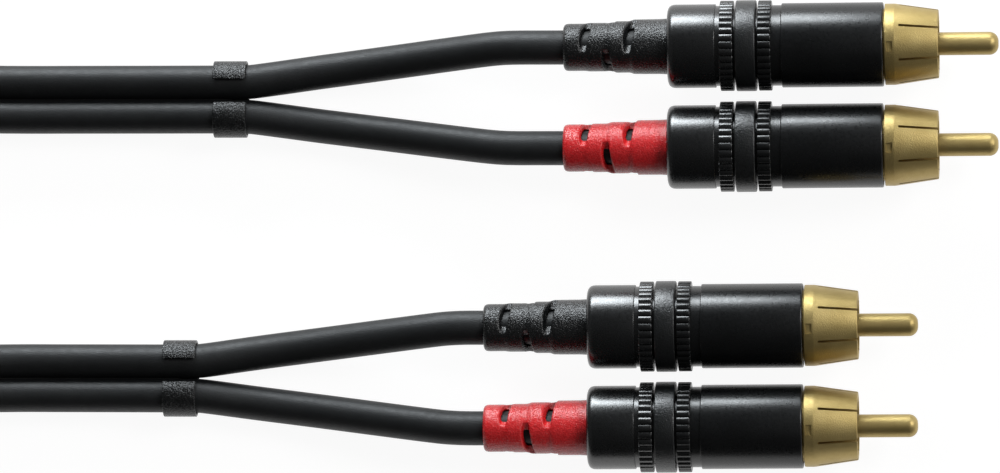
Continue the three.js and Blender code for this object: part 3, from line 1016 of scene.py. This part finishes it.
@dataclass(frozen=True)
class CableBoot:
    """Flexible sleeve with crosswise relief slots, which grows in steps towards the cap."""

    colour: BootColour
    roll_degrees: float
    rear: float = BOOT_REAR
    cap_rear: float = CAP_REAR
    flange_rear: float = -0.02854
    flange_front: float = -0.02714
    rear_radius: float = 0.00328
    front_radius: float = 0.00387
    flange_radius: float = 0.0047
    bore: float = 0.0025
    rear_edge: float = 0.0007
    slot_width: float = 0.00085
    slot_ramp: float = math.radians(22)
    slot_floor: float = 0.0022
    slot_reach: float = 0.0043
    slot_pitch: float = 0.0031
    slot_rings: int = 3
    first_slot: float = 0.0033
    slant: float = math.radians(9)
    growth: tuple[float, float, float] = (0.15, 0.5, 0.86)
    growth_at_cap: float = 0.9
    cuff_length: float = 0.0011
    step_length: float = 0.0006
    bore_edge: float = 0.0002
    skin: float = 0.00015
    ease: float = 0.5
    ease_rounds: int = 3
    sides: int = 96

    def outline(self) -> Outline:
        """Returns the outline before the slots are cut."""
        rise = self.front_radius - self.rear_radius
        corners: list[Corner] = [
            (self.rear, self.bore, self.bore_edge),
            (self.rear, self.rear_radius, self.rear_edge),
        ]
        radius = self.rear_radius
        for ring, share in enumerate(self.growth):
            middle = self.rear + self.first_slot + ring * self.slot_pitch
            corners.append((middle - self.step_length / 2, radius, 0))
            radius = self.rear_radius + rise * share
            corners.append((middle + self.step_length / 2, radius, 0))
        corners += [
            (self.cap_rear - self.cuff_length, self.rear_radius + rise * self.growth_at_cap, 0),
            (self.cap_rear, self.front_radius, 0),
            (self.flange_rear, self.front_radius, 0),
            (self.flange_rear, self.flange_radius, 0),
            (self.flange_front, self.flange_radius, 0),
            (self.flange_front, self.bore, 0),
        ]
        return rounded(corners)

    def slot(self, ring: int, side: int) -> Cutter:
        """Returns the cutter for one relief slot.

        Args:
            ring: which ring of slots it is in, from the rear.
            side: 0 or 1, for the two slots opposite each other.

        Returns:
            The cutter, which opens up backwards from a flat floor.
        """
        odd = ring % 2
        half = self.slot_width / 2
        turn = math.radians(self.roll_degrees + 90 * odd + 180 * side)
        placing = (
            Matrix.Translation((self.rear + self.first_slot + ring * self.slot_pitch, 0, 0))
            @ Matrix.Rotation(-turn, 4, "X")
            @ Matrix.Rotation(self.slant if odd else -self.slant, 4, "Z")
        )
        low = Vector((-half, -self.slot_reach, self.slot_floor))
        lean = (self.slot_reach - self.slot_floor) * math.tan(self.slot_ramp)
        return Cutter(low, Vector((half, self.slot_reach, self.slot_reach)), placing, lean)

    def soften(self, blank: bpy.types.Object) -> None:
        """Gives the moulding the soft edges of its material."""
        skin = blank.modifiers.new("skin", "REMESH")
        skin.mode = "VOXEL"
        skin.voxel_size = self.skin
        ease = blank.modifiers.new("ease", "SMOOTH")
        ease.factor = self.ease
        ease.iterations = self.ease_rounds

    def mesh(self) -> bpy.types.Mesh:
        """Builds the boot in the plug's own frame."""
        blank = turned(f"{self.colour.value}_boot", self.outline(), self.sides)
        cutters = [self.slot(ring, side) for ring in range(self.slot_rings) for side in (0, 1)]
        return shaped(carved(blank, blocks("relief", cutters)), self.soften, crease=60)


@dataclass(frozen=True)
class Plug:
    """One plug: where it lies, and the pieces that dress it."""

    end: str
    colour: BootColour
    rest_x: float
    y: float
    yaw: float = math.radians(0.46)
    rest_station: float = -0.01917
    axis_height: float = 0.0063
    boot_rear: float = BOOT_REAR
    jacket_end: float = -0.02314

    @property
    def name(self) -> str:
        """Start of the names of the plug's CAD nodes."""
        return f"{self.end}_{self.colour.value}"

    def pose(self) -> Matrix:
        """Returns the placing of the plug's own frame in the row frame."""
        resting = Matrix.Translation((self.rest_x, self.y, self.axis_height))
        turn = Matrix.Rotation(self.yaw, 4, "Z")
        return resting @ turn @ Matrix.Translation((-self.rest_station, 0, 0))

    def point(self, station: float) -> Vector:
        """Returns the place of a point on the plug's axis."""
        return self.pose() @ Vector((station, 0, 0))

    def dress(self, kit: Mapping[str, tuple[bpy.types.Mesh, Finish]]) -> None:
        """Args:
            kit: mesh and finish of each piece, by the end of its node's name.
        """
        for suffix, (master, finish) in kit.items():
            mesh = master.copy()
            mesh.transform(self.pose())
            node = f"{self.name}_{suffix}"
            piece(f"{node}_fine", mesh, finish, [node])


# Cable


# Legs, from the split to the boot's mouth: share of the way along, share of the spread sideways, height.
LEG_ROUTE_A: Route = (
    (0, 0, 0.00295),
    (0.03, 0, 0.00295),
    (0.06, 0.015, 0.00288),
    (0.1, 0.064, 0.00277),
    (0.15, 0.133, 0.00261),
    (0.21, 0.218, 0.00247),
    (0.27, 0.302, 0.0024),
    (0.33, 0.38, 0.00245),
    (0.39, 0.458, 0.00265),
    (0.45, 0.535, 0.00297),
    (0.51, 0.613, 0.00338),
    (0.57, 0.691, 0.00386),
    (0.63, 0.769, 0.00437),
    (0.69, 0.846, 0.00489),
    (0.74, 0.909, 0.00532),
    (0.78, 0.955, 0.00563),
    (0.82, 0.988, 0.0059),
    (0.87, 1, 0.0061),
    (0.93, 1, 0.00625),
)
LEG_ROUTE_B: Route = (
    (0, 0, 0.00295),
    (0.03, 0, 0.00295),
    (0.065, 0.015, 0.00287),
    (0.11, 0.065, 0.00274),
    (0.17, 0.142, 0.00255),
    (0.23, 0.219, 0.00243),
    (0.3, 0.305, 0.00242),
    (0.37, 0.387, 0.00258),
    (0.44, 0.469, 0.00292),
    (0.51, 0.551, 0.00338),
    (0.58, 0.634, 0.00395),
    (0.65, 0.716, 0.00455),
    (0.72, 0.798, 0.00515),
    (0.78, 0.868, 0.0056),
    (0.83, 0.925, 0.00593),
    (0.87, 0.966, 0.0061),
    (0.91, 0.99, 0.00622),
    (0.95, 1, 0.00628),
)


@dataclass(frozen=True)
class Split:
    """One end of the lead: where its twin cable divides, and the band that is pressed round it there."""

    name: str
    side: int
    fork_x: float
    twin_y: float
    leg_route: Route
    lobe_offset: float = 0.00238
    cable_radius: float = 0.002375
    fit: float = 0.00026
    thickness: float = 0.00033
    width: float = 0.0046
    past_split: float = 0.0023
    above_surface: float = 0.00003
    lip_near: float = -0.00049
    lip_far: float = 0.00288
    edge: float = 0.00013
    edge_steps: int = 3
    bend_steps: int = 40

    def strip(self, inset: float) -> np.ndarray:
        """Draws the band's bent line across the cables.

        Args:
            inset: how far inside the band's outer face the line runs.

        Returns:
            Points across and above the cables' axes, from one lip to the other.
        """
        outer = self.cable_radius + self.fit + self.thickness
        middle = outer - self.thickness / 2
        near = math.asin((self.lip_near + self.lobe_offset) / middle)
        far = math.asin((self.lip_far - self.lobe_offset) / middle)
        radius = outer - inset
        left = np.linspace(near, -math.pi, self.bend_steps)
        right = np.linspace(math.pi, far, self.bend_steps)
        lines = [
            np.column_stack([centre + radius * np.sin(angles), radius * np.cos(angles)])
            for centre, angles in ((-self.lobe_offset, left), (self.lobe_offset, right))
        ]
        return np.vstack(lines)

    def band(self) -> bpy.types.Object:
        """Builds the band and dresses it."""
        front = self.fork_x + self.past_split
        section = rounded(
            [
                (front - self.width, 0, self.edge),
                (front, 0, self.edge),
                (front, self.thickness, self.edge),
                (front - self.width, self.thickness, self.edge),
            ],
            self.edge_steps,
        )
        height = self.cable_radius + self.fit + self.thickness + self.above_surface
        columns = []
        for x, inset in section:
            across, above = self.strip(inset).T
            columns.append(np.column_stack([np.full(len(across), x), across + self.twin_y, above + height]))
        name = f"{self.name}_split_band"
        mesh = skinned(name, np.stack(columns, axis=1), False)
        return piece(f"{name}_fine", mesh, BAND_BLACK, [name])


@dataclass(frozen=True)
class CableLeg:
    """Single cable from the split into one plug's boot and on to its clamp."""

    split: Split
    plug: Plug
    sign: int
    step: float = 0.0006
    sides: int = 40
    points_in_plug: int = 5

    def line(self) -> np.ndarray:
        """Returns the leg's line: shares along and sideways turned into places, then the plug's axis."""
        mouth = self.plug.point(self.plug.boot_rear)
        start = self.split.twin_y + self.sign * self.split.lobe_offset
        points = []
        for along, spread, height in self.split.leg_route:
            x = self.split.fork_x + along * (mouth.x - self.split.fork_x)
            points.append((x, start + spread * (mouth.y - start), height, Lay.FLAT.value))
        for station in np.linspace(self.plug.boot_rear, self.plug.jacket_end, self.points_in_plug):
            points.append((*self.plug.point(station), Lay.FLAT.value))
        return smooth_line(np.array(points), self.step)

    def dress(self) -> None:
        line = self.line()
        name = f"{self.plug.name}_leg"
        mesh = swept(name, circle(self.split.cable_radius, self.sides), line)
        body = piece(f"{name}_fine", mesh, JACKET, [name])
        self.plug.point(self.plug.boot_rear)
        LOG.info("%s: %.1f mm long", name, 1000 * line_length(line))


@dataclass(frozen=True)
class TwinCable:
    """Two cables side by side, from one split through a coil in two layers to the other split."""

    first: Split
    second: Split
    valley: float = math.radians(12)
    lobe_points: int = 26
    step: float = 0.0015
    free_length: float = 1.29
    coil_centre: tuple[float, float] = (-0.1697, -0.00035)
    coil_radius: float = 0.0445
    turn_pitch: float = 0.00495
    start_angle: float = math.radians(47)
    layer_sweep: float = math.radians(853)
    ramp: float = math.radians(45)
    low_axis: float = 0.00482
    high_axis: float = 0.01435
    points_per_turn: int = 48
    softness: float = math.radians(30)
    tie_angle: float = math.radians(120)
    tie_lift: float = 0.00018
    tie_rise: float = math.radians(35)
    twist_start: float = -0.103
    twist_end: float = -0.1393
    route_low: Route = (
        (-0.0713, 0, 0.00295),
        (-0.0748, 0, 0.00295),
        (-0.0785, 0, 0.0027),
        (-0.083, 0, 0.00245),
        (-0.088, 0, 0.0024),
        (-0.094, 0, 0.0024),
        (-0.1, 0, 0.0024),
        (-0.106, 0.0001, 0.0025),
        (-0.112, 0.0006, 0.00305),
        (-0.118, 0.0017, 0.0038),
        (-0.124, 0.0034, 0.00445),
        (-0.13, 0.0062, 0.0048),
        (-0.135, 0.0094, 0.00485),
        (-0.1393, 0.0131, 0.00485),
    )
    route_high: Route = (
        (-0.07835, 0, 0.00295),
        (-0.0818, 0, 0.00295),
        (-0.0855, 0, 0.0027),
        (-0.09, 0, 0.00245),
        (-0.0955, 0, 0.0024),
        (-0.101, 0, 0.0025),
        (-0.106, 0.0001, 0.003),
        (-0.112, 0.0006, 0.0044),
        (-0.118, 0.0017, 0.0066),
        (-0.124, 0.0034, 0.0092),
        (-0.13, 0.0062, 0.0118),
        (-0.135, 0.0094, 0.0135),
        (-0.1393, 0.0131, 0.01435),
    )

    def section(self) -> np.ndarray:
        """Returns the two lobes with a web between them, as distances sideways and upwards."""
        half = np.linspace(self.valley - math.pi, math.pi - self.valley, self.lobe_points)
        radius = self.first.cable_radius
        right = np.column_stack([self.first.lobe_offset + radius * np.cos(half), radius * np.sin(half)])
        return np.vstack([right, -right])

    def stretch(self, split: Split, route: Route) -> list[tuple[float, ...]]:
        """Places the stretch between a split and the coil.

        Args:
            split: the end that it belongs to.
            route: x, distance outwards and height of its points.

        Returns:
            Places and rolls. The cable turns from flat to on edge on the way.
        """
        points = []
        for x, outwards, height in route:
            roll = Lay.ON_EDGE.value * eased((self.twist_start - x) / (self.twist_start - self.twist_end))
            points.append((x, split.twin_y + split.side * outwards, height, roll))
        return points

    def turn(self, turned_by: float) -> tuple[float, float]:
        """Returns the coil's radius and height after some winding. The cable rises over the tie."""
        sweep = self.layer_sweep
        from_middle = math.hypot(turned_by - sweep, self.softness) - math.hypot(sweep, self.softness)
        radius = self.coil_radius + from_middle / (2 * math.pi) * self.turn_pitch
        climb = eased((turned_by - sweep + self.ramp) / (2 * self.ramp))
        height = self.low_axis + (self.high_axis - self.low_axis) * climb
        past_tie = (self.start_angle + turned_by - self.tie_angle + math.pi) % (2 * math.pi) - math.pi
        nearness = max(0, 1 - (past_tie / self.tie_rise) ** 2)
        return radius, height + self.tie_lift * nearness * nearness

    def coil(self) -> list[tuple[float, ...]]:
        """Returns places and rolls of the coil: inwards below, up at the innermost turn, outwards above."""
        count = round(2 * self.layer_sweep / (2 * math.pi) * self.points_per_turn)
        points = []
        for index in range(1, count):
            turned_by = 2 * self.layer_sweep * index / count
            radius, height = self.turn(turned_by)
            angle = self.start_angle + turned_by
            x = self.coil_centre[0] + radius * math.cos(angle)
            y = self.coil_centre[1] + radius * math.sin(angle)
            points.append((x, y, height, Lay.ON_EDGE.value))
        return points

    def lobes_at_tie(self) -> np.ndarray:
        """Returns radius and height of every lobe that the tie goes round."""
        lobes = []
        turned_by = (self.tie_angle - self.start_angle) % (2 * math.pi)
        while turned_by < 2 * self.layer_sweep:
            radius, height = self.turn(turned_by)
            for side in (-1, 1):
                lobes.append((radius, height + side * self.first.lobe_offset))
            turned_by += 2 * math.pi
        return np.array(lobes)

    def line(self) -> np.ndarray:
        """Returns the whole line of the cable."""
        out = self.stretch(self.first, self.route_low)
        back = self.stretch(self.second, self.route_high)[::-1]
        return smooth_line(np.array([*out, *self.coil(), *back]), self.step)

    def dress(self, on_it: Sequence[bpy.types.Object]) -> None:
        line = self.line()
        mesh = swept("twin_cable", self.section(), line)
        nodes = [f"{self.first.name}_twin_cable", f"{self.second.name}_twin_cable", "twin_cable_coil"]
        body = piece("twin_cable_fine", mesh, JACKET, nodes)
        LOG.info("twin cable: %.3f m long", line_length(line))


@dataclass(frozen=True)
class CoilTie:
    """Thin strap that holds the coil's turns together, with its end lapped over itself outside."""

    width: float = 0.006
    thickness: float = 0.00015
    fit: float = 0.00008
    lap: float = math.radians(40)
    sides: int = 90
    columns: int = 5

    @property
    def facing(self) -> np.ndarray:
        """Directions from the bundle of turns in which the strap's places lie."""
        return np.linspace(-math.pi, math.pi, self.sides, endpoint=False)

    def layer(self, cable: TwinCable, beyond: np.ndarray, shifts: np.ndarray) -> np.ndarray:
        """Draws one face of the strap.

        Args:
            cable: the cable whose coil it holds.
            beyond: its distance from the cable, in each direction round the bundle of turns.
            shifts: distances from the strap's middle, across its width.

        Returns:
            Places, in rows round the bundle and columns across the strap.
        """
        outwards = np.column_stack([np.cos(self.facing), np.sin(self.facing)])
        lobes = cable.lobes_at_tie()
        outermost = lobes[np.argmax(outwards @ lobes.T, axis=1)]
        radius, height = (outermost + outwards * (cable.first.cable_radius + beyond)[:, None]).T
        angles = cable.tie_angle + shifts[None] / radius[:, None]
        x = cable.coil_centre[0] + radius[:, None] * np.cos(angles)
        y = cable.coil_centre[1] + radius[:, None] * np.sin(angles)
        return np.stack([x, y, np.broadcast_to(height[:, None], x.shape)], axis=2)

    def dress(self, cable: TwinCable) -> bpy.types.Object:
        """Builds the strap round a cable's coil."""
        layers = np.where(np.abs(self.facing) < self.lap, 2, 1)
        shifts = np.linspace(-self.width / 2, self.width / 2, self.columns)
        inside = self.layer(cable, np.full(self.sides, self.fit), shifts)
        outside = self.layer(cable, self.fit + self.thickness * layers, shifts[::-1])
        mesh = skinned("coil_tie", np.concatenate([inside, outside], axis=1), True)
        return piece("coil_tie", mesh, BAND_BLACK, [])


# Studio


@dataclass(frozen=True)
class Viewpoint:
    """The camera: a long lens high above the plugs, tilted a little towards their pins."""

    lens: float = 300
    sensor: float = 36
    sight: float = 100
    target: Place = (-0.0334, 0, 0.0063)
    distance: float = 1.1557
    tilt: float = math.radians(4.5)

    def set_up(self) -> None:
        """Makes the camera and hands it to the scene."""
        data = bpy.data.cameras.new("camera")
        data.lens = self.lens
        data.sensor_width = self.sensor
        data.clip_end = self.sight
        camera = placed("camera", data)
        away = Vector((math.sin(self.tilt), 0, math.cos(self.tilt)))
        camera.location = Vector(self.target) + away * self.distance
        camera.rotation_euler = (0, self.tilt, 0)
        bpy.context.scene.camera = camera


@dataclass(frozen=True)
class Lamp:
    """A soft rectangular lamp that faces the plugs."""

    name: str
    place: Place
    size: tuple[float, float]
    brightness: float
    tint: Colour = (1, 1, 1)

    def hang(self, aim: Vector) -> None:
        """Puts the lamp up, facing a point."""
        data = bpy.data.lights.new(self.name, "AREA")
        data.shape = "RECTANGLE"
        data.size, data.size_y = self.size
        data.energy = self.brightness * math.pi * self.size[0] * self.size[1]
        data.color = self.tint
        lamp = placed(self.name, data)
        lamp.location = self.place
        lamp.rotation_euler = (aim - Vector(self.place)).to_track_quat("-Z", "Y").to_euler()
        lamp.visible_camera = False


@dataclass(frozen=True)
class Studio:
    """Pale floor, soft surroundings and lamps.

    The room's light depends on direction: each span says where along X, Y or Z one level gives way to
    the next. The two ends are told apart from the dome by how far X, moved by middle_shift, is from 0.
    """

    floor_half: float = 20
    floor_glow: float = 0.93
    floor_shade: Colour = (0.15, 0.15, 0.15)
    floor_bounce: Colour = (0.8, 0.8, 0.8)
    horizon: float = 1
    overhead: float = 0.05
    near_side: float = 0.03
    far_side: float = 0.12
    left_end: float = 0.12
    right_end: float = 0.5
    right_end_near: float = 0.1
    side_span: Span = (-0.5, 0.8)
    dome_span: Span = (0.35, 0.85)
    right_span: Span = (-0.6, -0.1)
    left_span: Span = (-0.1, 0.05)
    middle_shift: float = 0.09
    end_span: Span = (0.17, 0.37)
    horizon_span: Span = (0.02, 0.06)
    aim: Place = (-0.03, 0, 0.005)
    lamps: tuple[Lamp, ...] = (
        Lamp("key_softbox", (-0.22, 0.9, 0.2), (0.46, 0.38), brightness=19, tint=(0.9, 0.96, 1)),
        Lamp("end_softbox", (0.9, 0.55, 0.9), (0.5, 0.5), brightness=10),
    )

    def floor(self) -> None:
        """Lays the floor. Its glow is seen directly and in reflections, and it keeps the lead's shadow."""
        half = self.floor_half
        corners = [(-half, -half, 0), (half, -half, 0), (half, half, 0), (-half, half, 0)]
        mesh = bpy.data.meshes.new("floor")
        mesh.from_pydata(corners, [], [(0, 1, 2, 3)])
        material = bpy.data.materials.new("pale_floor")
        bench = Bench(material, "OutputMaterial")
        plain = bench.node("BsdfDiffuse", {"Color": (*self.floor_bounce, 1)})
        shade = bench.node("BsdfDiffuse", {"Color": (*self.floor_shade, 1)})
        glow = bench.node("Emission", {"Strength": self.floor_glow})
        both = bench.node("AddShader", {0: shade.outputs[0], 1: glow.outputs[0]})
        rays = bench.node("LightPath").outputs
        seen = rays["Is Camera Ray"]
        for kind in ("Is Glossy Ray", "Is Transmission Ray"):
            seen = bench.node("Math", {0: seen, 1: rays[kind]}, operation="MAXIMUM").outputs[0]
        bench.show(bench.node("MixShader", {0: seen, 1: plain.outputs[0], 2: both.outputs[0]}))
        mesh.materials.append(material)
        placed("floor", mesh)

    def surroundings(self) -> None:
        """Lights the room: bright past the plugs' ends, dark overhead and beside, white at the horizon."""
        world = bpy.data.worlds.new("room")
        bench = Bench(world, "OutputWorld")
        x, y, z = bench.node("SeparateXYZ", {0: bench.places["Generated"]}).outputs
        sides = bench.change(y, self.side_span, self.near_side, self.far_side, Fade.SOFT)
        dome = bench.change(z, self.dome_span, sides, self.overhead, Fade.SOFT)
        shifted = bench.node("Math", {0: x, 1: self.middle_shift}, operation="ADD")
        along = bench.node("Math", {0: shifted.outputs[0]}, operation="ABSOLUTE").outputs[0]
        right = bench.change(y, self.right_span, self.right_end_near, self.right_end, Fade.SOFT)
        ends = bench.change(x, self.left_span, self.left_end, right, Fade.SOFT)
        lit = bench.change(along, self.end_span, dome, ends, Fade.SOFT)
        whole = bench.change(z, self.horizon_span, self.horizon, lit, Fade.SOFT)
        bench.show(bench.node("Background", {"Strength": whole}))
        bpy.context.scene.world = world

    def set_up(self) -> None:
        """Sets up floor, room and lamps."""
        self.floor()
        self.surroundings()
        for lamp in self.lamps:
            lamp.hang(Vector(self.aim))
        bpy.context.scene.view_settings.view_transform = "Standard"


# Lead


@dataclass(frozen=True)
class AudioLead:
    """The whole lead: two splits, four plugs, their legs and the twin cable."""

    outer_y: float = 0.0264
    inner_y: float = 0.01245
    rest_a: float = 0.000825
    rest_b: float = -0.010275
    splits: tuple[Split, Split] = (
        Split("end_a", side=1, fork_x=-0.0713, twin_y=0.0191, leg_route=LEG_ROUTE_A),
        Split("end_b", side=-1, fork_x=-0.07835, twin_y=-0.0198, leg_route=LEG_ROUTE_B),
    )

    def plugs(self) -> list[tuple[Plug, Split, int]]:
        """Returns each plug with its split and the side of the split that its leg comes from."""
        first, second = self.splits
        return [
            (Plug("end_a", BootColour.BLACK, self.rest_a, self.outer_y), first, 1),
            (Plug("end_a", BootColour.RED, self.rest_a, self.inner_y), first, -1),
            (Plug("end_b", BootColour.BLACK, self.rest_b, -self.inner_y), second, 1),
            (Plug("end_b", BootColour.RED, self.rest_b, -self.outer_y), second, -1),
        ]

    def hidden_pieces(self) -> None:
        """Dresses the CAD pieces that stay as they are, inside the plugs."""
        inside = {
            "cable_clamp": TIN,
            "solder_sleeve": WHITE_BUSH,
            "core_insulation": WHITE_BUSH,
            "core_wire": COPPER,
        }
        for plug, _, _ in self.plugs():
            for suffix, finish in inside.items():
                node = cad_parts[f"{plug.name}_{suffix}"]
                node.data.materials.clear()
                node.data.materials.append(material_of(finish))

    def cords(self) -> None:
        """Builds the cables and the bands."""
        twin = TwinCable(*self.splits)
        twin.dress([*(split.band() for split in self.splits), CoilTie().dress(twin)])
        for plug, split, sign in self.plugs():
            CableLeg(split, plug, sign).dress()

    def dress_plugs(self) -> None:
        """Builds one set of plug pieces and copies it to the four plugs."""
        knurl = Knurl()
        shared = {
            "centre_pin": (CentrePin().mesh(), GOLD),
            "ground_contact": (GroundContact().mesh(), GOLD),
            "insulator": (Insulator().mesh(), WHITE_BUSH),
            "front_shell": (FrontShell(knurl).mesh(), LACQUER),
            "coding_ring": (CodingRing().mesh(), CODING_GREY),
            "rear_cap": (RearCap(knurl).mesh(), CAP_LACQUER),
        }
        boots = {
            BootColour.BLACK: (CableBoot(BootColour.BLACK, roll_degrees=35).mesh(), BLACK_BOOT),
            BootColour.RED: (CableBoot(BootColour.RED, roll_degrees=54).mesh(), RED_BOOT),
        }
        for plug, _, _ in self.plugs():
            plug.dress({**shared, "cable_boot": boots[plug.colour]})

    def build(self) -> None:
        """Builds the whole lead."""
        self.cords()
        self.dress_plugs()
        self.hidden_pieces()


def main() -> None:
    """Sets up the camera, builds the lead and the studio, and logs each piece's face count and each cable's
    length.
    """
    logging.basicConfig(level=logging.INFO, format="%(message)s")
    Viewpoint().set_up()
    AudioLead().build()
    Studio().set_up()


if __name__ == "__main__":
    main()
